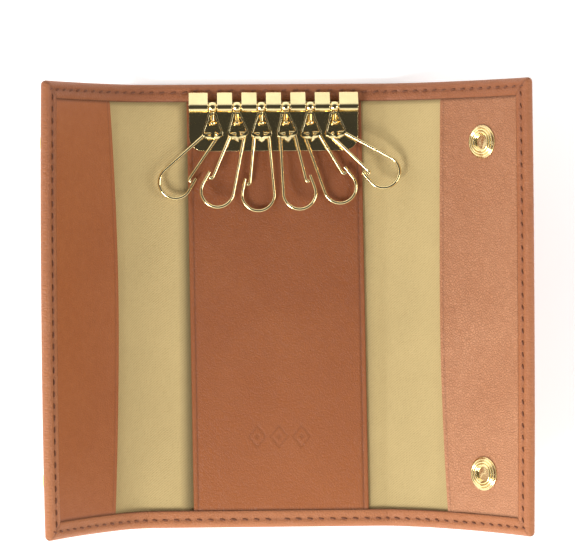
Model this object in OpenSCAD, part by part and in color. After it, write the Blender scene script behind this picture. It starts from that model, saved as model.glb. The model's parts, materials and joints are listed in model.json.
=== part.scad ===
// Leather key organiser with a six-hook key bar, lying open on its back.
// Millimetres. X runs across the case, Y from the bottom edge to the key bar, Z up.
// The origin is on the flat back, under the middle of the key bar and of the case height.

/* [Case] */
// Height of the open case, bottom edge to top edge
case_h = 110.5; // [95:0.5:130]
// Centre of the key bar to the left fold
panel_left = 25.5; // [24:0.5:32]
// Centre of the key bar to the right fold
panel_right = 27; // [25:0.5:34]
// Length of the left flap along the leather, after its fold strip
left_flap_len = 39; // [34:0.5:48]
// Length of the right flap along the leather, after its fold strip
right_flap_len = 41; // [36:0.5:50]
// Slope of the left flap at its free edge, in degrees
left_edge_slope = 62; // [46:1:75]
// Slope of the right flap at its free edge, in degrees
right_edge_slope = 56; // [40:1:70]

/* [Leather] */
// Thickness of the outer leather
outer_t = 1; // [0.8:0.05:1.3]
// Thickness of the cloth lining
lining_t = 0.2; // [0.1:0.05:0.3]
// Thickness of the inner leather pieces
facing_t = 0.8; // [0.5:0.05:1]
// Total thickness at the turned edge
edge_t = 2.6; // [2.4:0.05:3.2]
// Width of the leather turned over along top and bottom
hem_w = 4.3; // [3:0.1:6]
// Width of the centre leather piece
patch_w = 43.4; // [42.5:0.1:46]
// Stitch pitch
stitch_pitch = 2.85; // [2:0.1:4]

/* [Key bar] */
// Width of the key bar
bar_w = 42; // [40:0.5:44]
// Height of the key bar plate
bar_h = 14.4; // [13:0.1:18]
// Sheet thickness of the key bar
bar_t = 0.5; // [0.4:0.05:0.8]
// Distance between two hooks
hook_pitch = 6.06; // [5.8:0.02:6.4]
// Diameter of the rod
rod_d = 1.5; // [1.2:0.1:1.8]
// Width of the slots for the swivel eyes
slot_w = 2.35; // [2.2:0.05:2.6]

/* [Hooks] */
// Wire diameter of the hooks
wire_d = 0.85; // [0.7:0.05:1]
// Length of a hook, from its bell to the middle of its round end
loop_len = 15.2; // [13:0.1:18]
// Radius of the round end of a hook
loop_r = 4; // [3.5:0.1:4.3]
// Depth of the bells, front to back
bell_depth = 1.9; // [1.6:0.1:2.1]

/* [Snaps] */
// Outer diameter of the snap sockets
socket_d = 8.2; // [7:0.1:10]
// Distance of both snaps from the middle of the case height
snap_y = 40.5; // [30:0.5:46]

/* [Hidden] */
$fn = 48;
half_h = case_h / 2;
gap = 0.15;
under = 0.02;
board_t = 0.28;
lining_z = outer_t + under + board_t;
face_z = lining_z + lining_t;
tongue_t = 0.28;
hem_z = face_z + tongue_t + under;
wire_r = wire_d / 2;
rod_y = 49.5;
plate_z = edge_t + under;
barrel_r = 1.3;
rod_z = plate_z + bar_t + barrel_r + 0.03;
bar_top = 53;

// each layer follows a path of two arcs: [start across, start up, [length, slope, slope], [...]]
function arc_end(g, t) = abs(g[2] - g[1]) < 0.01
    ? [g[0] * t * cos(g[1]), g[0] * t * sin(g[1]), g[1]]
    : let (k = g[0] * 180 / (PI * (g[2] - g[1])), a = g[1] + (g[2] - g[1]) * t)
      [k * (sin(a) - sin(g[1])), k * (cos(g[1]) - cos(a)), a];
function len_of(p) = p[2][0] + p[3][0];
function at(p, s) = s <= p[2][0]
    ? let (e = arc_end(p[2], s / p[2][0])) [p[0] + e[0], p[1] + e[1], e[2]]
    : let (e = arc_end(p[2], 1), f = arc_end(p[3], (s - p[2][0]) / p[3][0]))
      [p[0] + e[0] + f[0], p[1] + e[1] + f[1], f[2]];
function lift(q, d) = [q[0] - d * sin(q[2]), q[1] + d * cos(q[2])];

left_strip = [panel_left, 0, [3, 0, 0], [2.8, 0, 8]];
right_strip = [panel_right, 0, [2.4, 0, 22], [3.4, 22, 22]];
left_start = at(left_strip, len_of(left_strip));
right_start = at(right_strip, len_of(right_strip));
left_flap = [left_start[0], left_start[1], [9, 8, 44], [left_flap_len - 9, 44, left_edge_slope]];
right_flap = [right_start[0], right_start[1], [12, 22, 38], [right_flap_len - 12, 38, right_edge_slope]];
left_facing_s = 10.3;
right_facing_s = 10.8;
socket_s = right_flap_len - 16.4;
stud_s = left_flap_len - 6.12;
snap_places = [-snap_y - 0.4, snap_y - 0.4];

// colours
c_leather = [0.64, 0.36, 0.22];
c_inside = [0.68, 0.40, 0.25];
c_cloth = [0.80, 0.71, 0.50];
c_board = [0.55, 0.50, 0.42];
c_gold = [0.86, 0.70, 0.36];
c_thread = [0.42, 0.22, 0.13];

// the six hangers, left to right
bell_turn = [1, 5, 1, 7, 4, 6];
hook_turn = [-38, -20, -3.5, 11, 28, 50];
main_side = [-1, 1, 1, -1, -1, 1];
lie = [-2.5, 4.5, -2.5, 4.5, -2.5, 4.5];
head_y = -3.9;
pin_y = -2.7;
pin_x = 1.75;
bell_w = 2.5;

// a layer of leather, cloth or board that follows path p from s0 to s1,
// between d0 and d1 above the back, and from y0 to y1
module layer(p, s0, s1, d0, d1, y0, y1) {
    steps = [s0, for (s = [floor(s0) + 1 : ceil(s1) - 1]) if (s > s0 + 0.05 && s < s1 - 0.05) s, s1];
    n = len(steps) - 1;
    low = [for (i = [0 : n]) lift(at(p, steps[i]), d0)];
    high = [for (i = [n : -1 : 0]) lift(at(p, steps[i]), d1)];
    translate([0, y1, 0])
        rotate([90, 0, 0])
            linear_extrude(height = y1 - y0)
                polygon(concat(low, high));
}

// puts a part on path p at length s, its own Z along the outward face of the leather
module on_path(p, s, y) {
    q = at(p, s);
    translate([q[0], y, q[1]])
        rotate([0, -q[2], 0])
            children();
}

// outer leather of one piece: back sheet with its edges turned over inside
module turned(p, free) {
    e = len_of(p);
    s0 = gap;
    s1 = free ? e : e - gap;
    cut = free ? e - outer_t : e + 1;
    win = free ? e - hem_w : e + 1;
    difference() {
        layer(p, s0, s1, 0, edge_t, -half_h, half_h);
        layer(p, -0.5, cut, outer_t, hem_z, -half_h + outer_t, half_h - outer_t);
        layer(p, -0.5, win, outer_t + 0.1, edge_t + 0.6, -half_h + hem_w, half_h - hem_w);
    }
}

module outer_centre() {
    w = panel_left + panel_right - 2 * gap;
    x0 = -panel_left + gap;
    color(c_leather)
        difference() {
            translate([x0, -half_h, 0])
                cube([w, case_h, edge_t]);
            translate([x0 - 1, -half_h + outer_t, outer_t])
                cube([w + 2, case_h - 2 * outer_t, hem_z - outer_t]);
            translate([x0 - 1, -half_h + hem_w, outer_t + 0.1])
                cube([w + 2, case_h - 2 * hem_w, edge_t]);
        }
}

module outer_left_fold() {
    color(c_leather)
        mirror([1, 0, 0])
            turned(left_strip, false);
}

module outer_right_fold() {
    color(c_leather)
        turned(right_strip, false);
}

module outer_left_flap() {
    color(c_leather)
        mirror([1, 0, 0])
            difference() {
                turned(left_flap, true);
                for (y = snap_places)
                    on_path(left_flap, stud_s, y)
                        translate([0, 0, -1])
                            cylinder(r = 1.05, h = 3);
            }
}

module outer_right_flap() {
    color(c_leather)
        difference() {
            turned(right_flap, true);
            for (y = snap_places)
                on_path(right_flap, socket_s, y)
                    translate([0, 0, -1])
                        cylinder(r = 1.35, h = 3);
        }
}

// cloth lining
module lining_centre() {
    color(c_cloth)
        difference() {
            translate([-panel_left + gap, -half_h + 1.5, lining_z])
                cube([panel_left + panel_right - 2 * gap, case_h - 3, lining_t]);
            prong_holes(lining_z - 1);
        }
}

module lining_left_fold() {
    color(c_cloth)
        mirror([1, 0, 0])
            layer(left_strip, gap, len_of(left_strip) - gap, lining_z, face_z, -half_h + 1.5, half_h - 1.5);
}

module lining_right_fold() {
    color(c_cloth)
        layer(right_strip, gap, len_of(right_strip) - gap, lining_z, face_z, -half_h + 1.5, half_h - 1.5);
}

module lining_left_flap() {
    color(c_cloth)
        mirror([1, 0, 0])
            layer(left_flap, gap, left_flap_len - 1.5, lining_z, face_z, -half_h + 1.5, half_h - 1.5);
}

module lining_right_flap() {
    color(c_cloth)
        difference() {
            layer(right_flap, gap, right_flap_len - 1.5, lining_z, face_z, -half_h + 1.5, half_h - 1.5);
            for (y = snap_places)
                on_path(right_flap, socket_s, y)
                    cylinder(r = 1.35, h = 4);
        }
}

// inner leather: a full-thickness part inside the turned edge and a thinned tongue under it
module centre_patch() {
    color(c_inside)
        difference() {
            union() {
                translate([-patch_w / 2, -half_h + 1.5, face_z])
                    cube([patch_w, case_h - 3, tongue_t]);
                translate([-patch_w / 2, -half_h + hem_w + 0.1, face_z])
                    cube([patch_w, case_h - 2 * hem_w - 0.2, facing_t]);
            }
            for (x = [-patch_w / 2 + 1.2, patch_w / 2 - 1.5])
                translate([x, -half_h + hem_w, face_z + facing_t - 0.12])
                    cube([0.3, case_h - 2 * hem_w, 1]);
            prong_holes(face_z - 1);
        }
}

module facing(p, s0) {
    e = len_of(p);
    z0 = face_z + under;
    layer(p, s0, e - 1.5, z0, face_z + tongue_t, -half_h + 1.5, half_h - 1.5);
    layer(p, s0, e - hem_w - 0.1, z0, face_z + facing_t, -half_h + hem_w + 0.1, half_h - hem_w - 0.1);
}

module left_facing() {
    color(c_inside)
        mirror([1, 0, 0])
            facing(left_flap, left_facing_s);
}

module right_facing() {
    color(c_inside)
        difference() {
            facing(right_flap, right_facing_s);
            for (y = snap_places)
                on_path(right_flap, socket_s, y)
                    cylinder(r = 1.35, h = 5);
        }
}

// stiffening board between the leather and the lining
module board_centre() {
    color(c_board)
        difference() {
            translate([-panel_left + 3, -half_h + 3, outer_t + under / 2])
                cube([panel_left + panel_right - 6, case_h - 6, board_t]);
            translate([-20.5, 40, 0])
                cube([41, 8, 4]);
        }
}

module board_left() {
    color(c_board)
        mirror([1, 0, 0])
            difference() {
                layer(left_flap, 2, left_flap_len - 3, outer_t + under / 2, outer_t + under / 2 + board_t,
                    -half_h + 3, half_h - 3);
                for (y = snap_places)
                    on_path(left_flap, stud_s, y)
                        cylinder(r = 3.4, h = 4);
            }
}

module board_right() {
    color(c_board)
        difference() {
            layer(right_flap, 2, right_flap_len - 3, outer_t + under / 2, outer_t + under / 2 + board_t,
                -half_h + 3, half_h - 3);
            for (y = snap_places)
                on_path(right_flap, socket_s, y)
                    cylinder(r = 1.35, h = 4);
        }
}

// thread: one short raised stitch
module stitch(turn) {
    rotate([0, 0, turn])
        translate([-0.75, -0.2, 0])
            cube([1.5, 0.4, 0.12]);
}

module stitching_centre() {
    n = floor((panel_left + panel_right - 3) / stitch_pitch);
    color(c_thread)
        for (y = [-half_h + 2.1, half_h - 2.1])
            for (i = [0 : n])
                let (x = -panel_left + 1.8 + i * stitch_pitch)
                    if (y < 0 || abs(x) > bar_w / 2 + 1)
                        translate([x, y, edge_t])
                            stitch(8);
}

module flap_stitches(p) {
    e = len_of(p);
    n = floor((e - 5) / stitch_pitch);
    m = floor((case_h - 8) / stitch_pitch);
    for (y = [-half_h + 2.1, half_h - 2.1])
        for (i = [0 : n])
            on_path(p, 1.6 + i * stitch_pitch, y)
                translate([0, 0, edge_t + 0.04])
                    stitch(8);
    for (i = [0 : m])
        on_path(p, e - 2.3, (i - m / 2) * stitch_pitch)
            translate([0, 0, edge_t + 0.04])
                stitch(82);
}

module stitching_left_flap() {
    color(c_thread)
        mirror([1, 0, 0])
            flap_stitches(left_flap);
}

module stitching_right_flap() {
    color(c_thread)
        flap_stitches(right_flap);
}

// female half of the snaps, on the inside of the right flap
module socket() {
    translate([0, 0, face_z + facing_t + 0.1])
        difference() {
            union() {
                cylinder(r = socket_d / 2, h = 0.35);
                cylinder(r = socket_d / 2 - 0.5, h = 0.6);
                for (ring = [[3.55, 0.26, 0.5], [2.92, 0.28, 0.66], [2.28, 0.28, 0.68]])
                    translate([0, 0, ring[2]])
                        rotate_extrude()
                            translate([ring[0], 0])
                                circle(r = ring[1], $fn = 24);
            }
            translate([0, 0, 0.18])
                cylinder(r = 1.85, h = 3);
        }
}

module snap_sockets() {
    color(c_gold)
        for (y = snap_places)
            on_path(right_flap, socket_s, y)
                socket();
}

// outer caps of the right flap, each with its post through the leather
module snap_caps() {
    color(c_gold)
        for (y = snap_places)
            on_path(right_flap, socket_s, y) {
                translate([0, 0, -0.55])
                    cylinder(r = 4.7, h = 0.54);
                translate([0, 0, -0.95])
                    cylinder(r1 = 3.9, r2 = 4.7, h = 0.4);
                translate([0, 0, -0.02])
                    cylinder(r = 1.3, h = face_z + facing_t + 0.08);
            }
}

// male half of the snaps, on the outside of the left flap
module snap_studs() {
    color(c_gold)
        mirror([1, 0, 0])
            for (y = snap_places)
                on_path(left_flap, stud_s, y) {
                    translate([0, 0, -0.5])
                        cylinder(r = 3.9, h = 0.49);
                    translate([0, 0, -1.05])
                        cylinder(r1 = 1.4, r2 = 1.15, h = 0.6);
                    translate([0, 0, -1.36])
                        cylinder(r1 = 1, r2 = 1.4, h = 0.31);
                    translate([0, 0, -0.02])
                        cylinder(r = 1, h = outer_t + 0.02);
                }
}

module stud_washers() {
    color(c_gold)
        mirror([1, 0, 0])
            for (y = snap_places)
                on_path(left_flap, stud_s, y)
                    translate([0, 0, outer_t + 0.07])
                        cylinder(r = 3.2, h = board_t - 0.09);
}

// key bar: one folded sheet. Plate, ramp tabs, and a curl around the rod, cut by six slots
module prong_holes(z) {
    for (x = [-18.2, 18.2])
        for (y = [41.5, 46])
            translate([x - 0.75, y - 0.3, z])
                cube([1.5, 0.6, 6]);
}

module plate_outline() {
    r = 3.6;
    y0 = bar_top - bar_h;
    union() {
        translate([-bar_w / 2, y0 + r])
            square([bar_w, bar_h - r]);
        translate([-bar_w / 2 + r, y0])
            square([bar_w - 2 * r, r + 1]);
        for (x = [-bar_w / 2 + r, bar_w / 2 - r])
            translate([x, y0 + r])
                circle(r = r);
    }
}

module key_bar() {
    color(c_gold)
        union() {
            difference() {
                union() {
                    translate([0, 0, plate_z])
                        linear_extrude(height = bar_t)
                            plate_outline();
                    translate([-bar_w / 2, 0, 0])
                        rotate([90, 0, 90])
                            linear_extrude(height = bar_w)
                                polygon([
                                    [bar_top, plate_z + 0.1],
                                    [bar_top + 0.25, plate_z + 0.5],
                                    [bar_top, plate_z + 0.95],
                                    [rod_y + 0.75, rod_z + barrel_r - 0.22],
                                    [rod_y, rod_z + barrel_r],
                                    [rod_y, rod_z + barrel_r - bar_t],
                                    [rod_y + 0.9, rod_z + barrel_r - 0.9],
                                    [bar_top - 0.7, plate_z + bar_t]
                                ]);
                    translate([-bar_w / 2, rod_y, rod_z])
                        rotate([0, 90, 0])
                            cylinder(r = barrel_r, h = bar_w);
                }
                translate([-bar_w / 2 - 1, rod_y, rod_z])
                    rotate([0, 90, 0])
                        cylinder(r = rod_d / 2 + 0.01, h = bar_w + 2);
                for (i = [0 : 5]) {
                    translate([(i - 2.5) * hook_pitch - slot_w / 2, rod_y + 1.3, 0])
                        cube([slot_w, 8, 12]);
                    translate([(i - 2.5) * hook_pitch - slot_w / 2, rod_y - 2, plate_z + bar_t])
                        cube([slot_w, 8, 12]);
                }
            }
            for (x = [-18.2, 18.2])
                for (y = [41.5, 46])
                    translate([x - 0.65, y - 0.2, outer_t + 0.3])
                        cube([1.3, 0.4, plate_z - outer_t - 0.2]);
        }
}

module key_bar_rod() {
    color(c_gold)
        translate([-bar_w / 2 + 0.1, rod_y, rod_z])
            rotate([0, 90, 0])
                cylinder(r = rod_d / 2, h = bar_w - 0.2);
}

// steel strip behind the lining that the prongs of the key bar clinch on
module back_strip() {
    color(c_board)
        difference() {
            translate([-20, 40.3, outer_t + under / 2])
                cube([40, 7.4, board_t]);
            prong_holes(0);
        }
}

// hangers: the frame of hanger i, on the rod, its own -Y along the post
module hanger(i) {
    translate([(i - 2.5) * hook_pitch, rod_y, rod_z])
        rotate([-lie[i], 0, 0])
            children();
}

// the bell hangs on the round head of the post
module bell_frame(i) {
    translate([0, head_y, 0])
        rotate([0, 0, bell_turn[i]])
            children();
}

module swivel_eye(i) {
    color(c_gold)
        hanger(i)
            union() {
                difference() {
                    rotate([0, 90, 0])
                        rotate_extrude()
                            polygon([[0, -1], [1, -1], [1.2, -0.75], [1.32, -0.35],
                                [1.32, 0.35], [1.2, 0.75], [1, 1], [0, 1]]);
                    translate([-3, 0, 0])
                        rotate([0, 90, 0])
                            cylinder(r = rod_d / 2 + 0.07, h = 6);
                }
                translate([0, -1.15, 0])
                    rotate([90, 0, 0])
                        cylinder(r = 0.5, h = -head_y - 1.15);
                translate([0, head_y + 0.45, 0])
                    rotate([90, 0, 0])
                        rotate_extrude()
                            polygon([[0, 0], [0.6, 0], [0.95, 0.35], [0.95, 0.7], [0.6, 1.05], [0, 1.15]]);
            }
}

// outline of the bell strip, o in from the outside, its pointed foot v thicker
module bell_outline(o, v) {
    polygon([
        [-1.15 + o, 1.95 - o], [-0.8 + o * 0.6, 2.4 - o], [0.8 - o * 0.6, 2.4 - o], [1.15 - o, 1.95 - o],
        [1.5 - o, 0.5], [bell_w - 0.35 - o, -1.2], [bell_w - o, -2.2], [bell_w - o, -3.1 + o * 0.5 + v],
        [0, -4.85 + o * 1.25 + v], [-bell_w + o, -3.1 + o * 0.5 + v], [-bell_w + o, -2.2],
        [-bell_w + 0.35 + o, -1.2], [-1.5 + o, 0.5]
    ]);
}

module bell(i) {
    color(c_gold)
        hanger(i)
            bell_frame(i)
                difference() {
                    translate([0, 0, -bell_depth / 2])
                        linear_extrude(height = bell_depth)
                            difference() {
                                bell_outline(0, 0);
                                bell_outline(0.42, 0.5);
                            }
                    for (side = [0, 180])
                        rotate([0, side, 0])
                            translate([-4, -3.4, bell_depth / 2])
                                rotate([32, 0, 0])
                                    translate([0, -4, 0])
                                        cube([8, 4, 3]);
                    rotate([-90, 0, bell_turn[i] * -1])
                        cylinder(r = 0.6, h = 5);
                    for (s = [-1, 1])
                        translate([s > 0 ? slot_in(i, s) : -4.1, pin_y - 3, -wire_r - 0.12])
                            cube([4.1 - slot_in(i, s), 4.2, wire_d + 0.24]);
                }
}

// inner end of the slot that wire s of bell i leaves through
function slot_in(i, s) = let (v = turn2(leg_dir(i, s), -bell_turn[i]))
    min(0.75, pin_x - s * v[0] / v[1] * 2.3 - 1.15);

function turn2(v, a) = [v[0] * cos(a) - v[1] * sin(a), v[0] * sin(a) + v[1] * cos(a)];
function pin_mid(i) = turn2([0, pin_y], bell_turn[i]) + [0, head_y];
function pin_pt(i, s) = pin_mid(i) + turn2([s * pin_x, 0], bell_turn[i]);
function pin_in(i, s) = pin_mid(i) + turn2([s * 0.55, 0], bell_turn[i]);
function loop_mid(i) = pin_mid(i) + turn2([0, -loop_len], hook_turn[i]);
function leg_dir(i, s) = let (v = loop_mid(i) - pin_pt(i, s)) turn2(v / norm(v), s * asin(loop_r / norm(v)));
function leg_len(i, s) = let (v = loop_mid(i) - pin_pt(i, s)) sqrt(v * v - loop_r * loop_r);
function leg_end(i, s) = pin_pt(i, s) + leg_dir(i, s) * leg_len(i, s);

// straight length of wire from point a to point b
module bar(a, b) {
    v = b - a;
    u = v / norm(v);
    translate([a[0] - u[0] * 0.05, a[1] - u[1] * 0.05, 0])
        rotate([0, 0, atan2(v[1], v[0])])
            rotate([0, 90, 0])
                cylinder(r = wire_r - 0.012, h = norm(v) + 0.1, $fn = 24);
}

// signed turn from direction d1 to direction d2, and the length that a bend takes from each side
function turn_of(d1, d2) = atan2(d1[0] * d2[1] - d1[1] * d2[0], d1 * d2);
function bend_take(d1, d2, k) = k * tan(abs(turn_of(d1, d2)) / 2);

// bend of radius k round the corner q
module bend(q, d1, d2, k) {
    th = turn_of(d1, d2);
    g = th > 0 ? 1 : -1;
    a = q - d1 * bend_take(d1, d2, k);
    c = a + turn2(d1, 90 * g) * k;
    start = atan2(a[1] - c[1], a[0] - c[0]);
    translate([c[0], c[1], 0])
        rotate([0, 0, g > 0 ? start : start + th])
            rotate_extrude(angle = abs(th))
                translate([k, 0])
                    circle(r = wire_r, $fn = 24);
}

// the end of a wire inside the bell, its bend, and the leg down to point b
module leg(i, s, b) {
    d1 = turn2([s, 0], bell_turn[i]);
    q = pin_pt(i, s);
    d2 = (b - q) / norm(b - q);
    k = 0.55;
    bar(pin_in(i, s), q - d1 * bend_take(d1, d2, k));
    bend(q, d1, d2, k);
    bar(q + d2 * bend_take(d1, d2, k), b);
}

module hook_wire(i) {
    s = main_side[i];
    c = loop_mid(i);
    right = leg_end(i, 1) - c;
    left = leg_end(i, -1) - c;
    a0 = atan2(left[1], left[0]);
    a1 = atan2(right[1], right[0]);
    top = leg_end(i, -s) - leg_dir(i, -s) * 3.2;
    color(c_gold)
        hanger(i)
            union() {
                leg(i, s, leg_end(i, s));
                translate([c[0], c[1], 0])
                    rotate([0, 0, a0])
                        rotate_extrude(angle = (a1 - a0 + 720) % 360)
                            translate([loop_r, 0])
                                circle(r = wire_r, $fn = 24);
                bar(leg_end(i, -s), top);
            }
}

module gate_wire(i) {
    s = -main_side[i];
    c = loop_mid(i);
    inward = (c - leg_end(i, s)) / loop_r;
    tip = leg_end(i, s) - leg_dir(i, s) * 2 + inward * 1.42;
    d2 = (tip - pin_pt(i, s)) / norm(tip - pin_pt(i, s));
    out = inward * -1;
    k = 0.5;
    color(c_gold)
        hanger(i)
            union() {
                leg(i, s, tip - d2 * bend_take(d2, out, k));
                bend(tip, d2, out, k);
                bar(tip + out * bend_take(d2, out, k), tip + out * 0.75);
            }
}

module swivel_eye_1() { swivel_eye(0); }
module swivel_eye_2() { swivel_eye(1); }
module swivel_eye_3() { swivel_eye(2); }
module swivel_eye_4() { swivel_eye(3); }
module swivel_eye_5() { swivel_eye(4); }
module swivel_eye_6() { swivel_eye(5); }
module bell_1() { bell(0); }
module bell_2() { bell(1); }
module bell_3() { bell(2); }
module bell_4() { bell(3); }
module bell_5() { bell(4); }
module bell_6() { bell(5); }
module hook_wire_1() { hook_wire(0); }
module hook_wire_2() { hook_wire(1); }
module hook_wire_3() { hook_wire(2); }
module hook_wire_4() { hook_wire(3); }
module hook_wire_5() { hook_wire(4); }
module hook_wire_6() { hook_wire(5); }
module gate_wire_1() { gate_wire(0); }
module gate_wire_2() { gate_wire(1); }
module gate_wire_3() { gate_wire(2); }
module gate_wire_4() { gate_wire(3); }
module gate_wire_5() { gate_wire(4); }
module gate_wire_6() { gate_wire(5); }

outer_centre();
outer_left_fold();
outer_left_flap();
outer_right_fold();
outer_right_flap();
lining_centre();
lining_left_fold();
lining_left_flap();
lining_right_fold();
lining_right_flap();
centre_patch();
left_facing();
right_facing();
board_centre();
board_left();
board_right();
stitching_centre();
stitching_left_flap();
stitching_right_flap();
snap_sockets();
snap_caps();
snap_studs();
stud_washers();
key_bar();
key_bar_rod();
back_strip();
swivel_eye_1();
swivel_eye_2();
swivel_eye_3();
swivel_eye_4();
swivel_eye_5();
swivel_eye_6();
bell_1();
bell_2();
bell_3();
bell_4();
bell_5();
bell_6();
hook_wire_1();
hook_wire_2();
hook_wire_3();
hook_wire_4();
hook_wire_5();
hook_wire_6();
gate_wire_1();
gate_wire_2();
gate_wire_3();
gate_wire_4();
gate_wire_5();
gate_wire_6();
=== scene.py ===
"""Leather key organiser, lying open on its back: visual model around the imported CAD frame.

Lengths are in millimetres until place() hands them to Blender in metres. The leather, the
lining and the stitching are built here along the same curved paths as the CAD solids. The
metal parts are the CAD nodes themselves, with materials of their own.
"""
import json
import math
import random

import bpy
import numpy as np
from mathutils import Matrix, Vector

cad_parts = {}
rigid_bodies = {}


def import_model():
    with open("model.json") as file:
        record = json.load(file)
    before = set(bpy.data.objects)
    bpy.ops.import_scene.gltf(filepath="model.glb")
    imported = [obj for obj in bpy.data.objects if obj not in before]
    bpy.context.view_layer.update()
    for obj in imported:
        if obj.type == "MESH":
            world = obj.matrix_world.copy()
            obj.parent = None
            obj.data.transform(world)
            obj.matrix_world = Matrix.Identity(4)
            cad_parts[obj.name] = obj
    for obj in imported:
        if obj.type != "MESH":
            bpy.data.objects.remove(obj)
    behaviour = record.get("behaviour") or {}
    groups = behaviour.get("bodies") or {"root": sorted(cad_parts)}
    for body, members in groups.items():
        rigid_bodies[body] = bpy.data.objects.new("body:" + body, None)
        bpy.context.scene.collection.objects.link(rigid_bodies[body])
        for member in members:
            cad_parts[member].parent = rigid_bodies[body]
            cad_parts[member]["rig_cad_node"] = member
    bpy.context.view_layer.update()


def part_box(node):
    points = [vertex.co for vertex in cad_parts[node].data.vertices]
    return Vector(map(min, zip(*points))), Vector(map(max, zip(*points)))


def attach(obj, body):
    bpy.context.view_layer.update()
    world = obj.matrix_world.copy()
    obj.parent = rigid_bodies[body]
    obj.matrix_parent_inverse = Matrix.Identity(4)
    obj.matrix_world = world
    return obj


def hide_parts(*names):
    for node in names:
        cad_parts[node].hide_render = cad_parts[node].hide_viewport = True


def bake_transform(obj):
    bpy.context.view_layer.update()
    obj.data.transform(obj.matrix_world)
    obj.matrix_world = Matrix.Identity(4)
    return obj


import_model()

MM = 0.001


def box_mm(node):
    """Lowest and highest corner of a CAD node, in millimetres."""
    low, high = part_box(node)
    return [v / MM for v in low], [v / MM for v in high]


# ---------------------------------------------------------------- driving sizes, millimetres
# Side -1 is the left of the case, side 1 the right.
CENTRE_LOW, CENTRE_HIGH = box_mm("outer_centre")
GAP = 0.15                                  # half the slit between two CAD leather pieces
HALF_H = CENTRE_HIGH[1]                     # half the height of the case
EDGE_T = CENTRE_HIGH[2]                     # thickness at the turned edge
PANEL = {-1: -CENTRE_LOW[0] + GAP, 1: CENTRE_HIGH[0] + GAP}
OUTER_T = 1.0                               # outer leather
LINING_LOW = box_mm("lining_centre")[0][2]  # underside of the lining
FACE_Z = box_mm("lining_centre")[1][2]      # top of the lining, which the inner leather lies on
FACE_TOP = box_mm("centre_patch")[1][2]     # top of the inner leather
HEM_W = 4.3                                 # leather turned over along the edges
TUCK = 0.2                                  # how far inner leather reaches under it
LINING_IN = 1.5                             # lining's edge, in from the case's edge
CLEAR = 0.01                                # inner leather above the lining
ROUND = EDGE_T / 2                          # the turned edge is fully round
CORNER = 1.0                                # corner radius in plan
SEAM_Y = 2.1                                # seam, in from the top and bottom edges
BAR_SEAM_Y = 1.6                            # stitches where they pass above the key bar
SEAM_S = 2.3                                # seam, in from the free edges of the flaps
SEAM_HALF = 0.75                            # half the width of the seam's pressed groove
PITCH = 2.85                                # stitch pitch
BAR_HALF = box_mm("key_bar")[1][0]          # half the key bar's width

# Each side is a chain of arcs on the outer surface: the length, and the slope in degrees at
# its start and at its end
ARCS = {
    -1: [(PANEL[-1], 0, 0), (3, 0, 0), (2.8, 0, 8), (9, 8, 44), (30, 44, 62)],
    1: [(PANEL[1], 0, 0), (2.4, 0, 22), (3.4, 22, 22), (12, 22, 38), (29, 38, 56)],
}
FLAP_START = {side: sum(arc[0] for arc in ARCS[side][:3]) for side in (-1, 1)}
LENGTH = {side: sum(arc[0] for arc in ARCS[side]) for side in (-1, 1)}
FOLD_HALF = 2.9                             # half the width of a fold strip
BEND_PAST = 2.1                             # how far into the flap the second bend reaches
MID_FOLD = {side: PANEL[side] + FOLD_HALF for side in (-1, 1)}
FACING_START = {-1: 10.3, 1: 10.8}          # from the flap's start to the facing's bare edge
# how much further out a facing's bare edge lies at the top and at the bottom than half way
FACING_BOW = {-1: (2.9, 1.9), 1: (0.5, 2.4)}
# how far the free edge is drawn in at the top and at the bottom
EDGE_PULL = {-1: (0.8, 0.9), 1: (0.4, 0.4)}
EDGE_IN = 0.4                               # and all along
EDGE_IN_FROM = 15                           # growing from this far into the flap outwards


def path_point(side, s):
    """Outward distance, height and slope at length s along the outer surface of one side."""
    u = z = 0.0
    for length, slope_0, slope_1 in ARCS[side]:
        run = min(s, length)
        a0, a1 = math.radians(slope_0), math.radians(slope_1)
        if slope_0 == slope_1:
            u += run * math.cos(a0)
            z += run * math.sin(a0)
            a = a0
        else:
            radius = length / (a1 - a0)
            a = a0 + (a1 - a0) * run / length
            u += radius * (math.sin(a) - math.sin(a0))
            z += radius * (math.cos(a0) - math.cos(a))
        s -= run
        if s <= 0:
            break
    return u, z, a


def place(side, s, y, d):
    """Point at length s, height y and distance d above the outer surface, in metres."""
    u, z, a = path_point(side, s)
    return Vector((side * (u - d * math.sin(a)), y, z + d * math.cos(a))) * MM


def smooth(t):
    """Smooth step from 0 to 1."""
    t = min(1.0, max(0.0, t))
    return t * t * (3 - 2 * t)


def hill(x, centre, width):
    """1 at the centre, smoothly 0 at width either side."""
    return 1 - smooth(abs(x - centre) / width)


def lines(low, high, step, fine_low=(), fine_high=()):
    """Grid lines from low to high about step apart, with fine ones counted in from the ends."""
    a = low + (max(fine_low) if fine_low else 0)
    b = high - (max(fine_high) if fine_high else 0)
    n = max(1, round((b - a) / step))
    return sorted({low + f for f in fine_low} | {high - f for f in fine_high}
                  | {a + (b - a) * i / n for i in range(n + 1)})


# grid lines counted in from an edge: over the turned edge, over a bare cut edge, under the
# turned edge, and across the lining beside the turned edge
EDGE_LINES = (0, 0.06, 0.2, 0.42, 0.7, 1.0, 1.3, 1.6, 1.85, 2.1, 2.35, 2.6, 2.95, 3.4, 3.8,
              4.05, 4.2, 4.3, 4.36, 4.5)
BARE_LINES = (0, 0.04, 0.12, 0.25, 0.4, 0.7, 1.0, 1.2, 1.4, 1.8)
TUCK_LINES = (0, 0.2, 0.5, 0.9, 1.5)
LINING_LINES = (0, 1.2, 2.3, 2.75, 3.0, 3.4, 4.0)
UNDERSIDE = 40.0                            # shift of the pattern on a piece's underside


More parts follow.
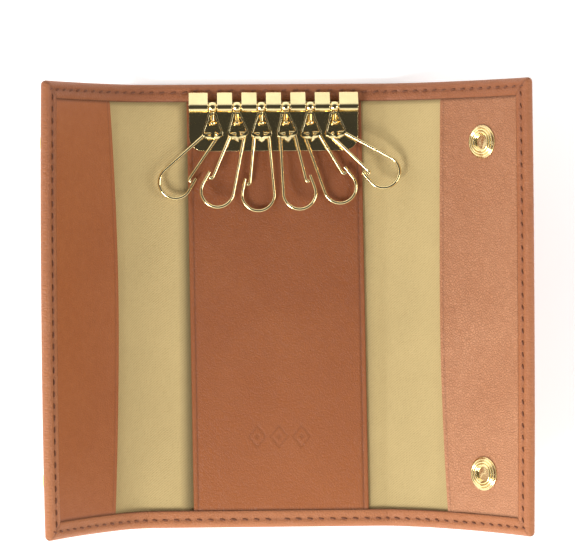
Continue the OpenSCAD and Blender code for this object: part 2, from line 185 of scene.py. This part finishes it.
# ---------------------------------------------------------------- meshes
def new_object(name, verts, faces, material, attributes=None):
    """Smooth mesh object; attributes are named vectors, one for each vertex."""
    mesh = bpy.data.meshes.new(name)
    mesh.from_pydata([tuple(v) for v in verts], [], faces)
    mesh.validate()
    for polygon in mesh.polygons:
        polygon.use_smooth = True
    for key, values in (attributes or {}).items():
        layer = mesh.attributes.new(key, "FLOAT_VECTOR", "POINT")
        layer.data.foreach_set("vector", np.array(values, np.float32).ravel())
    obj = bpy.data.objects.new(name, mesh)
    bpy.context.scene.collection.objects.link(obj)
    mesh.materials.append(material)
    return obj


def slab(name, side, s_lines, y_lines, high, low, material, warp=None, joins=()):
    """Closed slab along one side's path. high turns (s, y) into the top's distance above the
    outer surface, its painted shade mask and its edge mask, low into the underside's distance;
    warp moves a grid point first. joins names the grid rows, 0 or -1, where the slab meets
    another one without a visible line."""
    top, bottom, flat, tone = [], [], [], []
    for s in s_lines:
        for y in y_lines:
            s1, y1 = warp(s, y) if warp else (s, y)
            # the second value is the painted shade mask
            d, painted_shade, edge = high(s, y)
            top.append(place(side, s1, y1, d))
            bottom.append(place(side, s1, y1, low(s, y)))
            flat.append((side * s1, y1, 0.0))
            tone.append((painted_shade, edge, 0.0))
    rows, cols = len(s_lines), len(y_lines)
    count = rows * cols
    faces = []

    def quad(a, b, c, d):
        faces.append((a, b, c, d) if side > 0 else (d, c, b, a))

    for i in range(rows - 1):
        for j in range(cols - 1):
            a, b = i * cols + j, (i + 1) * cols + j
            quad(a, b, b + 1, a + 1)
            quad(count + a, count + a + 1, count + b + 1, count + b)
    for i in range(rows - 1):
        a, b = i * cols, (i + 1) * cols
        quad(b, a, count + a, count + b)
        a, b = a + cols - 1, b + cols - 1
        quad(a, b, count + b, count + a)
    for j in range(cols - 1):
        a, b = j, (rows - 1) * cols + j
        quad(a, a + 1, count + a + 1, count + a)
        quad(b + 1, b, count + b, count + b + 1)
    below = [(x, y, UNDERSIDE) for x, y, _ in flat]
    obj = new_object(name, top + bottom, faces, material,
                     {"flat_mm": flat + below, "tone": tone + [(0, e, 0) for _, e, _ in tone]})
    seams = [set(range(k + (row % rows) * cols, k + (row % rows + 1) * cols))
             for row in joins for k in (0, count)]
    for mesh_edge in obj.data.edges:
        a, b = mesh_edge.vertices
        mesh_edge.use_edge_sharp = any(a in seam_row and b in seam_row for seam_row in seams)
    return obj


# ---------------------------------------------------------------- materials
def material(name):
    """New material, with its nodes, its links and its shader."""
    mat = bpy.data.materials.new(name)
    mat.use_nodes = True
    nodes, links = mat.node_tree.nodes, mat.node_tree.links
    return mat, nodes, links, nodes["Principled BSDF"]


def noise(nodes, links, source, scale, detail=3.0, roughness=0.5, stretch=(1, 1, 1)):
    """Noise over the source's coordinates, which are multiplied by stretch first."""
    mapping = nodes.new("ShaderNodeMapping")
    mapping.inputs["Scale"].default_value = stretch
    links.new(source, mapping.inputs["Vector"])
    node = nodes.new("ShaderNodeTexNoise")
    node.inputs["Scale"].default_value = scale
    node.inputs["Detail"].default_value = detail
    node.inputs["Roughness"].default_value = roughness
    links.new(mapping.outputs["Vector"], node.inputs["Vector"])
    return node.outputs["Fac"]


def ramp(nodes, links, source, *stops):
    """Colour ramp; each stop is a position and a colour or a grey value."""
    node = nodes.new("ShaderNodeValToRGB")
    elements = node.color_ramp.elements
    while len(elements) < len(stops):
        elements.new(0.5)
    for element, (position, value) in zip(elements, stops):
        element.position = position
        element.color = (*value, 1) if hasattr(value, "__len__") else (value, value, value, 1)
    links.new(source, node.inputs["Fac"])
    return node.outputs["Color"]


def mix(nodes, links, factor, a, b, blend="MIX"):
    """Colour mix; factor, a and b are sockets, colours or numbers."""
    node = nodes.new("ShaderNodeMix")
    node.data_type = "RGBA"
    node.blend_type = blend
    for key, value in (("Factor", factor), ("A", a), ("B", b)):
        socket = [i for i in node.inputs if i.name == key and i.enabled][0]
        if isinstance(value, (int, float)):
            socket.default_value = value
        elif hasattr(value, "__len__"):
            socket.default_value = (*value, 1)
        else:
            links.new(value, socket)
    return [o for o in node.outputs if o.enabled][0]


def maths(nodes, links, kind, *values):
    """Math node of that kind; the values are sockets or numbers."""
    node = nodes.new("ShaderNodeMath")
    node.operation = kind
    for i, value in enumerate(values):
        if isinstance(value, (int, float)):
            node.inputs[i].default_value = value
        else:
            links.new(value, node.inputs[i])
    return node.outputs[0]


def bump(nodes, links, height, distance, strength=1.0, normal=None):
    """Bump on top of a normal; distance is in metres."""
    node = nodes.new("ShaderNodeBump")
    node.inputs["Strength"].default_value = strength
    node.inputs["Distance"].default_value = distance
    links.new(height, node.inputs["Height"])
    if normal:
        links.new(normal, node.inputs["Normal"])
    return node.outputs["Normal"]


def flat_coordinates(nodes, links):
    """Position on the flat cut piece in millimetres, and the painted shade and edge masks."""
    flat = nodes.new("ShaderNodeAttribute")
    flat.attribute_name = "flat_mm"
    tone = nodes.new("ShaderNodeAttribute")
    tone.attribute_name = "tone"
    split = nodes.new("ShaderNodeSeparateXYZ")
    links.new(tone.outputs["Vector"], split.inputs["Vector"])
    return flat.outputs["Vector"], split.outputs["X"], split.outputs["Y"]


def leather(name, base, light, dark, grain, shine, painted_falloff):
    """Finished cowhide: two-tone clouding, fine pores, a pebbled grain, and painted shade in
    creases and grooves and beside raised edges. grain is the depth of the pebbles, shine the
    lowest roughness, and the last argument how far painted light lightens the hide towards the
    bottom edge and painted shade darkens it towards the top."""
    mat, nodes, links, shader = material(name)
    flat, painted_shade, edge = flat_coordinates(nodes, links)
    cloud = noise(nodes, links, flat, 0.055, 3, 0.55)
    mottle = noise(nodes, links, flat, 0.45, 4, 0.6)
    colour = ramp(nodes, links, cloud, (0.3, base), (0.72, light))
    colour = mix(nodes, links, ramp(nodes, links, mottle, (0.35, 0.0), (0.75, 0.35)), colour, dark)
    cells = nodes.new("ShaderNodeTexVoronoi")
    cells.feature = "DISTANCE_TO_EDGE"
    cells.inputs["Scale"].default_value = 1.55
    warped = nodes.new("ShaderNodeVectorMath")
    warped.operation = "ADD"
    links.new(flat, warped.inputs[0])
    wobble = nodes.new("ShaderNodeTexNoise")
    wobble.inputs["Scale"].default_value = 0.9
    links.new(flat, wobble.inputs["Vector"])
    links.new(wobble.outputs["Color"], warped.inputs[1])
    links.new(warped.outputs[0], cells.inputs["Vector"])
    pebble = ramp(nodes, links, cells.outputs["Distance"], (0.0, 0.0), (0.16, 0.75), (0.4, 1.0))
    valleys = ramp(nodes, links, cells.outputs["Distance"], (0.0, 1.0), (0.12, 0.0))
    colour = mix(nodes, links, maths(nodes, links, "MULTIPLY", valleys, 0.10 + 0.25 * grain),
                 colour, dark)
    # painted light and shade: the hide lighter towards the bottom edge and darker towards the top
    position = nodes.new("ShaderNodeSeparateXYZ")
    links.new(flat, position.inputs["Vector"])
    lower = nodes.new("ShaderNodeMapRange")
    lower.inputs["From Min"].default_value = HALF_H
    lower.inputs["From Max"].default_value = -HALF_H
    lower.inputs["To Min"].default_value = -painted_falloff
    lower.inputs["To Max"].default_value = painted_falloff
    links.new(position.outputs["Y"], lower.inputs["Value"])
    upper = maths(nodes, links, "MULTIPLY", lower.outputs[0], -1.0)
    colour = mix(nodes, links, maths(nodes, links, "MAXIMUM", upper, 0.0), colour, dark)
    colour = mix(nodes, links, maths(nodes, links, "MAXIMUM", lower.outputs[0], 0.0), colour,
                 [c * 1.22 for c in light])
    # painted shade in creases, grooves and beside raised edges
    colour = mix(nodes, links, maths(nodes, links, "MULTIPLY", painted_shade, 0.85), colour,
                 [c * 0.30 for c in dark])
    colour = mix(nodes, links, maths(nodes, links, "MULTIPLY", edge, 0.35), colour, light)
    links.new(colour, shader.inputs["Base Color"])
    pores = noise(nodes, links, flat, 5.5, 2, 0.6)
    rough = ramp(nodes, links, mottle, (0.3, shine), (0.8, shine + 0.14))
    links.new(rough, shader.inputs["Roughness"])
    shader.inputs["Specular IOR Level"].default_value = 0.38
    normal = bump(nodes, links, pebble, 0.00010 * grain)
    normal = bump(nodes, links, pores, 0.00003, 1.0, normal)
    normal = bump(nodes, links, cloud, 0.0006, 0.35, normal)
    links.new(normal, shader.inputs["Normal"])
    return mat


def twill(name, warp_colour, weft_colour):
    """Fine diagonal twill with slubs and a soft sheen."""
    mat, nodes, links, shader = material(name)
    flat, painted_shade, _ = flat_coordinates(nodes, links)
    turned = nodes.new("ShaderNodeMapping")
    turned.inputs["Rotation"].default_value = (0, 0, math.radians(52))
    links.new(flat, turned.inputs["Vector"])
    wave = nodes.new("ShaderNodeTexWave")
    wave.wave_type = "BANDS"
    wave.bands_direction = "X"
    wave.inputs["Scale"].default_value = 0.62
    wave.inputs["Distortion"].default_value = 0.8
    wave.inputs["Detail"].default_value = 2.0
    wave.inputs["Detail Scale"].default_value = 2.2
    links.new(turned.outputs["Vector"], wave.inputs["Vector"])
    yarn = noise(nodes, links, flat, 1.0, 2, 0.6, (0.35, 5.5, 1))
    slub = noise(nodes, links, flat, 1.0, 2, 0.5, (5.5, 0.3, 1))
    shade = noise(nodes, links, flat, 0.05, 3, 0.6)
    ribs = maths(nodes, links, "MULTIPLY", wave.outputs["Fac"], 0.32)
    yarns = maths(nodes, links, "MULTIPLY", maths(nodes, links, "ADD", yarn, slub), 0.42)
    weave = maths(nodes, links, "ADD", ribs, yarns)
    colour = ramp(nodes, links, weave, (0.28, weft_colour), (0.62, warp_colour))
    colour = mix(nodes, links, ramp(nodes, links, shade, (0.35, 0.0), (0.8, 0.22)), colour,
                 [c * 0.72 for c in weft_colour])
    # painted shade beside the turned edge and beside the inner leather
    colour = mix(nodes, links, maths(nodes, links, "MULTIPLY", painted_shade, 0.75), colour,
                 [c * 0.25 for c in weft_colour])
    links.new(colour, shader.inputs["Base Color"])
    shader.inputs["Roughness"].default_value = 0.78
    shader.inputs["Sheen Weight"].default_value = 0.25
    shader.inputs["Sheen Roughness"].default_value = 0.4
    shader.inputs["Specular IOR Level"].default_value = 0.25
    links.new(bump(nodes, links, weave, 0.00006), shader.inputs["Normal"])
    return mat


def gold(name, base, rough):
    """Polished gold plate: faint swirl marks and slightly uneven plating."""
    mat, nodes, links, shader = material(name)
    where = nodes.new("ShaderNodeTexCoord").outputs["Object"]
    uneven = noise(nodes, links, where, 260, 2, 0.5)
    swirl = noise(nodes, links, where, 900, 3, 0.6, (1, 6, 1))
    links.new(ramp(nodes, links, uneven, (0.3, base), (0.8, [c * 0.86 for c in base])),
              shader.inputs["Base Color"])
    links.new(ramp(nodes, links, swirl, (0.35, rough), (0.8, rough + 0.10)),
              shader.inputs["Roughness"])
    shader.inputs["Metallic"].default_value = 1.0
    rounded = nodes.new("ShaderNodeBevel")
    rounded.samples = 6
    rounded.inputs["Radius"].default_value = 0.17 * MM
    normal = bump(nodes, links, uneven, 0.00012, 0.5, rounded.outputs["Normal"])
    links.new(bump(nodes, links, swirl, 0.000006, 0.5, normal), shader.inputs["Normal"])
    return mat


def plain_fibre(name, base, dark, scale, rough, metallic=0.0):
    """Board, thread and hidden steel: one colour broken by a fine stretched noise."""
    mat, nodes, links, shader = material(name)
    where = nodes.new("ShaderNodeTexCoord").outputs["Object"]
    grain = noise(nodes, links, where, scale, 3, 0.65, (1, 3, 2))
    links.new(ramp(nodes, links, grain, (0.3, dark), (0.7, base)), shader.inputs["Base Color"])
    shader.inputs["Roughness"].default_value = rough
    shader.inputs["Metallic"].default_value = metallic
    links.new(bump(nodes, links, grain, 0.00005, 0.6), shader.inputs["Normal"])
    return mat


# the last number of each is the strength of the painted light and shade from bottom to top
OUTER = leather("outer_leather", (0.375, 0.128, 0.047), (0.44, 0.168, 0.068),
                (0.27, 0.083, 0.030), 0.8, 0.44, 0.55)
INNER = leather("inner_leather", (0.272, 0.077, 0.020), (0.315, 0.098, 0.028),
                (0.20, 0.055, 0.014), 0.55, 0.38, 0.65)
SMOOTH = leather("smooth_leather", (0.355, 0.104, 0.027), (0.385, 0.120, 0.034),
                 (0.29, 0.082, 0.022), 0.4, 0.42, 0.10)
GRAINED = leather("grained_leather", (0.47, 0.200, 0.094), (0.55, 0.255, 0.13),
                  (0.33, 0.118, 0.048), 1.25, 0.44, 0.45)
CLOTH = twill("lining_twill", (0.57, 0.43, 0.195), (0.42, 0.305, 0.125))
GOLD = gold("gold_plate", (0.94, 0.77, 0.40), 0.09)
THREAD = plain_fibre("thread", (0.23, 0.080, 0.034), (0.12, 0.036, 0.016), 2600, 0.7)
BOARD = plain_fibre("board", (0.30, 0.25, 0.18), (0.20, 0.16, 0.11), 900, 0.9)
STEEL = plain_fibre("hidden_steel", (0.52, 0.50, 0.47), (0.36, 0.35, 0.33), 1500, 0.4, 1.0)


# ---------------------------------------------------------------- outer leather
FAR = 99.0                                  # stands for no free edge anywhere near
SHADE_W = 1.0                               # width of the shade beside the turned edge
GROOVE = 0.16                               # depth of the seam's pressed groove
HEM_THIN = (3.7, 0.22)                      # the hem thins from here to its cut end, by this
HEM_CUT = (4.0, 0.3)                        # painted shade along its cut end, from here, over this width
MITRE = (0.5, 0.12)                         # width and depth of the mitred corner's line


def edge_distances(side, s, y, free):
    """Distance of (s, y) from the top or bottom edge, and from the free edge if there is one."""
    return HALF_H - abs(y), (LENGTH[side] - s if free else FAR)


def hem_top(side, free):
    """Inside face of the outer leather: the turned edge, its seam groove and its cut end."""
    def surface(s, y):
        e_y, e_s = edge_distances(side, s, y, free)
        e = min(e_y, e_s)
        if e > HEM_W + 0.05:
            # painted shade on the leather beside the turned edge
            return OUTER_T, 1 - smooth((e - HEM_W) / SHADE_W), 0.0
        d, edge = EDGE_T, 0.0
        if e < ROUND:
            d = ROUND + math.sqrt(max(0.0, ROUND ** 2 - (ROUND - e) ** 2))
            edge = 1 - e / ROUND
        groove = max(hill(e_y, SEAM_Y, SEAM_HALF) if e_s > SEAM_Y else 0,
                     hill(e_s, SEAM_S, SEAM_HALF) if e_y > SEAM_S else 0)
        d -= GROOVE * groove
        d -= HEM_THIN[1] * smooth((e - HEM_THIN[0]) / (HEM_W - HEM_THIN[0]))
        # painted shade in the seam groove and along the cut end
        painted_shade = max(0.26 * groove, 0.8 * smooth((e - HEM_CUT[0]) / HEM_CUT[1]))
        off_mitre = abs(e_y - e_s) / MITRE[0]
        if free and off_mitre < 1 and max(e_y, e_s) < HEM_W:
            d -= MITRE[1] * (1 - off_mitre)
            # painted shade in the mitre line
            painted_shade = max(painted_shade, 0.45 * (1 - off_mitre))
        d += 0.05 * math.sin(s * 0.55 + 1.3 * side) * hill(e, 1.9, 1.9)     # uneven turning
        return d, painted_shade, edge
    return surface


def hem_bottom(side, free):
    """Outside face of the outer leather, rounded at its edges."""
    def surface(s, y):
        e = min(edge_distances(side, s, y, free))
        return ROUND - math.sqrt(max(0.0, ROUND ** 2 - (ROUND - e) ** 2)) if e < ROUND else 0.0
    return surface


def hem_warp(side, free):
    """Rounds the corners in plan and draws the free edge in, most at the top and bottom."""
    def move(s, y):
        if not free:
            return s, y
        e_s, e_y = LENGTH[side] - s, HALF_H - abs(y)
        if e_s < CORNER and e_y < CORNER:
            a, b = CORNER - e_s, CORNER - e_y
            k = max(a, b) / math.hypot(a, b) if max(a, b) > 0 else 1
            s, y = LENGTH[side] - CORNER + a * k, math.copysign(HALF_H - CORNER + b * k, y)
        first = FLAP_START[side] + EDGE_IN_FROM
        share = smooth((s - first) / (LENGTH[side] - first))
        pull = EDGE_PULL[side][0 if y > 0 else 1] * (abs(y) / HALF_H) ** 2.2
        return s - (EDGE_IN + pull) * share, y
    return move


def leather_piece(name, side, s0, s1, free):
    """Outer leather from s0 to s1, which is the flap's free edge where free is true."""
    s_lines = lines(s0, s1, 1.1, (), EDGE_LINES if free else ())
    y_lines = lines(-HALF_H, HALF_H, 4.5, EDGE_LINES, EDGE_LINES)
    return slab(name, side, s_lines, y_lines, hem_top(side, free), hem_bottom(side, free),
                OUTER, hem_warp(side, free), (0,) if free else (0, -1))


def lining_piece(name, side, s0, s1, free):
    """Lining from s0 to s1, with painted shade beside the turned edge and beside the inner
    leather.
    """
    y_end = HALF_H - LINING_IN
    s_lines = lines(s0, s1 - LINING_IN if free else s1, 1.1)
    y_lines = lines(-y_end, y_end, 3.2, LINING_LINES, LINING_LINES)
    bare = FLAP_START[side] + FACING_START[side]

    def top(s, y):
        hem = 1 - smooth((HALF_H - abs(y) - HEM_W) / 1.3)
        if free:
            beside = 0.10 * smooth((s - bare + 1.5) / 1.5)
        else:
            beside = PATCH_SHADE[side] * (1 - smooth((s - PATCH_REACH[side]) / 3.0))
        ripple = 0.05 * math.sin(0.9 * y + 0.35 * s) * math.sin(0.23 * y + 1.1 * side)
        # painted shade beside the turned edge, beside the centre piece and beside the facing's
        # bare edge
        return FACE_Z + ripple * (1 - hem), max(0.7 * hem, beside), 0.0

    return slab(name, side, s_lines, y_lines, top, lambda s, y: LINING_LOW, CLOTH,
                None, (0,) if free else (0, -1))


# ---------------------------------------------------------------- inner leather
# the centre piece's long edges, half width at the top and at the bottom of the case
PATCH_EDGE = {-1: (21.6, 20.5), 1: (21.8, 23.2)}
PATCH_REACH = {-1: 21.2, 1: 22.6}           # where the shade beside it starts
PATCH_SHADE = {-1: 1.0, 1: 0.3}             # how dark the lining is there
BARE_R = 0.32                               # rounding of a bare cut edge
CREASE_IN = 1.2                             # creased line along a bare edge


def bare_top(e, groove=0.13):
    """Height, painted shade in the creased line and edge mask of inner leather at distance e
    from its bare edge. groove is the depth of the creased line along the edge."""
    d = FACE_TOP
    if e < BARE_R:
        d -= BARE_R - math.sqrt(max(0.0, BARE_R ** 2 - (BARE_R - e) ** 2))
    line = hill(e, CREASE_IN, 0.32)
    return d - groove * line, 0.55 * line, max(0.0, 1 - e / 0.5)


def beside_hem(e):
    """Painted shade on inner leather right beside the turned edge, at distance e from the edge."""
    return 0.75 * (1 - smooth((e - HEM_W) / 0.7))


def over_lining(s, y):
    """Underside of inner leather."""
    return FACE_Z + CLEAR


def sunk(e):
    """How far inner leather is pressed down at distance e from the case's edge."""
    return 0.10 * (1 - smooth((e - HEM_W) / 0.9))


def facing(name, side, mat):
    """Inner leather of a flap, with a bowed bare edge towards the fold."""
    s0 = FLAP_START[side] + FACING_START[side]
    s1 = LENGTH[side] - HEM_W + TUCK
    y1 = HALF_H - HEM_W + TUCK
    s_lines = lines(s0, s1, 1.2, BARE_LINES, TUCK_LINES)
    y_lines = lines(-y1, y1, 3.0, TUCK_LINES, TUCK_LINES)

    def top(s, y):
        d, painted_shade, edge = bare_top(s - s0, 0.05)
        e = min(edge_distances(side, s, y, True))
        d -= sunk(e)
        d += 0.06 * math.sin(0.16 * y + 0.9) * smooth((s - s0) / 6)         # gentle waves
        # painted shade in the creased line and beside the turned edge
        return d, max(0.6 * painted_shade, beside_hem(e)), edge

    def warp(s, y):
        bow = FACING_BOW[side][0 if y > 0 else 1] * (abs(y) / HALF_H) ** 1.8
        return s + bow * (1 - (s - s0) / (s1 - s0)), y

    return slab(name, side, s_lines, y_lines, top, over_lining, mat, warp)


MARK_Y = -32.5                              # middle of the pressed ornament
MARK_X = (-4.6, 0.9, 6.4)                   # its three lozenges
MARK_HALF = (2.4, 3.0)                      # half width and half height of one lozenge
MARK_ROOM = (3.0, 3.6)                      # room around their middles that gets a fine grid
MARK_GRID = 0.28                            # its spacing


def ornament(x, y):
    """Depth of the blind-pressed ornament: three plain lozenges, each an outline and a dot."""
    depth = 0.0
    for middle in MARK_X:
        f = abs(x - middle) / MARK_HALF[0] + abs(y - MARK_Y) / MARK_HALF[1]
        depth += 0.11 * hill(f, 0.88, 0.2) + 0.10 * (1 - smooth((f - 0.15) / 0.2))
    return depth


def with_marks(grid, low, high):
    """The grid lines with a fine grid in their place between low and high."""
    return sorted([v for v in grid if not low <= v <= high] + lines(low, high, MARK_GRID))


def centre_piece():
    """Centre leather piece, with slanting sides and the pressed ornament."""
    y1 = HALF_H - HEM_W + TUCK
    wide = {side: sum(PATCH_EDGE[side]) / 2 for side in (-1, 1)}
    x_lines = with_marks(lines(-wide[-1], wide[1], 1.3, BARE_LINES, BARE_LINES),
                         MARK_X[0] - MARK_ROOM[0], MARK_X[-1] + MARK_ROOM[0])
    y_lines = with_marks(lines(-y1, y1, 2.5, TUCK_LINES, TUCK_LINES),
                         MARK_Y - MARK_ROOM[1], MARK_Y + MARK_ROOM[1])

    def top(x, y):
        side = -1 if x < 0 else 1
        d, painted_shade, edge = bare_top(wide[side] - abs(x))
        pressed = ornament(x, y)
        e = HALF_H - abs(y)
        d -= pressed + sunk(e)
        # painted shade in the creased lines, beside the turned edge and in the pressed ornament
        return d, max(painted_shade, beside_hem(e), 2.2 * pressed), edge

    def warp(x, y):
        side = -1 if x < 0 else 1
        t = (y + HALF_H) / (2 * HALF_H)
        reach = PATCH_EDGE[side][1] * (1 - t) + PATCH_EDGE[side][0] * t
        return x * (reach / wide[side]), y

    return slab("centre_patch_leather", 1, x_lines, y_lines, top, over_lining, INNER,
                warp)


# ---------------------------------------------------------------- stitching
random.seed(7)
STITCH_SLANT = 15                           # degrees off the line of the top and bottom seams
FREE_SLANT = {-1: 86, 1: 110}               # degrees from across the flap, on the free edges
STITCH_L = 1.6                              # visible length of one stitch
THREAD_R = 0.2                              # radius of the thread
THREAD_FLAT = 0.8                           # its height as a share of its width
THREAD_RISE = 0.17                          # how far it rises out of the leather
THREAD_SUNK = 0.12                          # its ends below the top of the turned edge
RINGS, AROUND = 7, 8                        # mesh of one stitch
SEAM_FIRST = 0.4                            # first stitch of a long seam past the free edge's
SEAM_SHORT = 3                              # a long seam is this much shorter than its side
FREE_SHORT = 7                              # and a free edge's seam than the case's height


def stitch_mesh(verts, faces, side, s, y, turn, d):
    """One stitch: a short thread that rises out of the leather and dips back in."""
    turn += random.uniform(-0.05, 0.05)
    first = len(verts)
    for i in range(RINGS):
        t = i / (RINGS - 1) * 2 - 1
        lift = THREAD_RISE * (1 - t * t) - THREAD_RISE * t ** 4
        r = THREAD_R * math.sqrt(max(0.08, 1 - 0.75 * t ** 4))
        for j in range(AROUND):
            a = 2 * math.pi * j / AROUND
            along, across = t * STITCH_L / 2, r * math.cos(a)
            ds = along * math.cos(turn) - across * math.sin(turn)
            dy = along * math.sin(turn) + across * math.cos(turn)
            verts.append(place(side, s + ds, y + dy, d + lift + r * math.sin(a) * THREAD_FLAT))
    for i in range(RINGS - 1):
        for j in range(AROUND):
            a, b = first + i * AROUND + j, first + i * AROUND + (j + 1) % AROUND
            faces.append((a, b, b + AROUND, a + AROUND))
    faces.append(tuple(first + j for j in range(AROUND))[::-1])
    faces.append(tuple(first + (RINGS - 1) * AROUND + j for j in range(AROUND)))


def seam(name, side, s0, s1, free):
    """Stitches of one leather piece between s0 and s1, and down its free edge."""
    verts, faces = [], []
    d = EDGE_T - THREAD_SUNK
    last = LENGTH[side] - SEAM_S
    n = int((LENGTH[side] - SEAM_SHORT) / PITCH)
    for i in range(n + 1):
        s = last - SEAM_FIRST - i * PITCH
        if not s0 <= s < s1:
            continue
        top_y = HALF_H - (BAR_SEAM_Y if s < BAR_HALF + 1 else SEAM_Y)
        for y in (-HALF_H + SEAM_Y, top_y):
            slant = math.copysign(math.radians(STITCH_SLANT), y * side)
            stitch_mesh(verts, faces, side, s, y, slant, d)
    if free:
        n = int((2 * HALF_H - FREE_SHORT) / PITCH)
        move = hem_warp(side, True)
        for i in range(n + 1):
            s, y = move(last, (i - n / 2) * PITCH)
            stitch_mesh(verts, faces, side, s, y, math.radians(FREE_SLANT[side]), d)
    return new_object(name, verts, faces, THREAD)


# ---------------------------------------------------------------- the four soft groups
# Each side's leather, lining and seam are made in two pieces, split in the middle of the fold
#  strip: the centre group runs from the centre panel to there, the flap group from there to the
#  flap's free edge.
for side, word in ((-1, "left"), (1, "right")):
    mid = MID_FOLD[side]
    start_u, mid_u, flap_u = (path_point(side, s)[0] for s in (
        PANEL[side] - FOLD_HALF, mid, FLAP_START[side] + BEND_PAST))
    groups = (
        ("centre", 0.0, mid, False, ("centre_panel", f"{word}_fold"), (start_u, mid_u)),
        ("flap", mid, LENGTH[side], True, (f"{word}_fold", f"{word}_flap"), (mid_u, flap_u)),
    )
    for part, s0, s1, free, bodies, (u0, u1) in groups:
        shell = leather_piece(f"leather_{part}_{word}", side, s0, s1, free)
        cloth = lining_piece(f"lining_{part}_{word}", side, s0, s1, free)
        thread = seam(f"seam_{part}_{word}", side, s0, s1, free)
        for piece in (shell, cloth, thread):
            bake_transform(piece)
        if part == "flap":
            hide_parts(f"outer_{word}_flap", f"outer_{word}_fold")
            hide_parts(f"lining_{word}_flap", f"lining_{word}_fold")
            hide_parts(f"stitching_{word}_flap")
        else:
            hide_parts("outer_centre")
            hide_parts("lining_centre")
            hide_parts("stitching_centre")

patch_piece = centre_piece()
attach(patch_piece, "centre_panel")
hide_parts("centre_patch")
for side, word, mat in ((-1, "left", SMOOTH), (1, "right", GRAINED)):
    piece = facing(f"facing_{word}", side, mat)
    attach(piece, f"{word}_flap")
    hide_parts(f"{word}_facing")

# ---------------------------------------------------------------- finishes of the CAD nodes
FINISH = {"gold_plate": GOLD, "board": BOARD, "hidden_steel": STEEL}
for obj in bpy.data.objects:
    if obj.type != "MESH" or "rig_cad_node" not in obj:
        continue
    kind = ("board" if obj.name.startswith("board") else
            "hidden_steel" if obj.name in ("back_strip", "stud_washers") else "gold_plate")
    if not obj.material_slots:
        obj.data.materials.append(FINISH[kind])
    for material_slot in obj.material_slots:
        material_slot.material = FINISH[kind]

# ---------------------------------------------------------------- floor, light, camera
FLOOR_MAT, nodes, links, shader = material("floor")
where = nodes.new("ShaderNodeTexCoord").outputs["Object"]
speckle = noise(nodes, links, where, 40, 2, 0.5)
links.new(ramp(nodes, links, speckle, (0.3, (0.93, 0.93, 0.93)), (0.7, (0.95, 0.95, 0.95))),
          shader.inputs["Base Color"])
shader.inputs["Roughness"].default_value = 0.9
shader.inputs["Emission Color"].default_value = (1, 1, 1, 1)
shader.inputs["Emission Strength"].default_value = 0.35
bpy.ops.mesh.primitive_plane_add(size=6, location=(0, 0, -0.0002))
floor = bpy.context.active_object
floor.name = "floor"
floor.data.materials.append(FLOOR_MAT)

# bright horizon and dark zenith, dimmer towards the right, so that polished gold shows both
world = bpy.data.worlds.new("studio")
bpy.context.scene.world = world
bpy.context.scene.view_settings.view_transform = "Standard"
world.use_nodes = True
nodes, links = world.node_tree.nodes, world.node_tree.links
background = nodes["Background"]
direction = nodes.new("ShaderNodeTexCoord").outputs["Generated"]
split = nodes.new("ShaderNodeSeparateXYZ")
links.new(direction, split.inputs["Vector"])
height = ramp(nodes, links, split.outputs["Z"],
              (0.0, 1.0), (0.55, 1.0), (0.78, 0.10), (1.0, 0.04))
across = ramp(nodes, links, maths(nodes, links, "MULTIPLY_ADD", split.outputs["X"], 0.5, 0.5),
              (0.0, 1.0), (0.5, 0.75), (1.0, 0.50))
links.new(mix(nodes, links, 1.0, height, across, "MULTIPLY"), background.inputs["Color"])
background.inputs["Strength"].default_value = 1.7


def soft_box(name, location, size, power):
    """Rectangular area light that faces the origin."""
    light = bpy.data.lights.new(name, "AREA")
    light.shape = "RECTANGLE"
    light.size, light.size_y = size
    light.energy = power
    obj = bpy.data.objects.new(name, light)
    bpy.context.scene.collection.objects.link(obj)
    obj.location = location
    obj.rotation_euler = (-Vector(location)).to_track_quat("-Z", "Y").to_euler()


soft_box("key", (-0.50, -0.55, 0.65), (0.35, 0.35), 7.5)
soft_box("fill", (0.65, -0.1, 0.55), (0.3, 0.4), 2.6)

camera_data = bpy.data.cameras.new("camera")
camera_data.lens = 173
camera_data.sensor_width = 36
camera_data.clip_start = 0.01
camera = bpy.data.objects.new("camera", camera_data)
bpy.context.scene.collection.objects.link(camera)
bpy.context.scene.camera = camera
EYE = Vector((-0.0170, 0.022, 0.690))
AIM = Vector((0.0033, 0.00815, 0.0))
ROLL = math.radians(0.45)
back = (EYE - AIM).normalized()
right = Vector((math.cos(ROLL), -math.sin(ROLL), 0))
up = back.cross(right).normalized()
right = up.cross(back).normalized()
camera.matrix_world = Matrix.Translation(EYE) @ Matrix((right, up, back)).transposed().to_4x4()
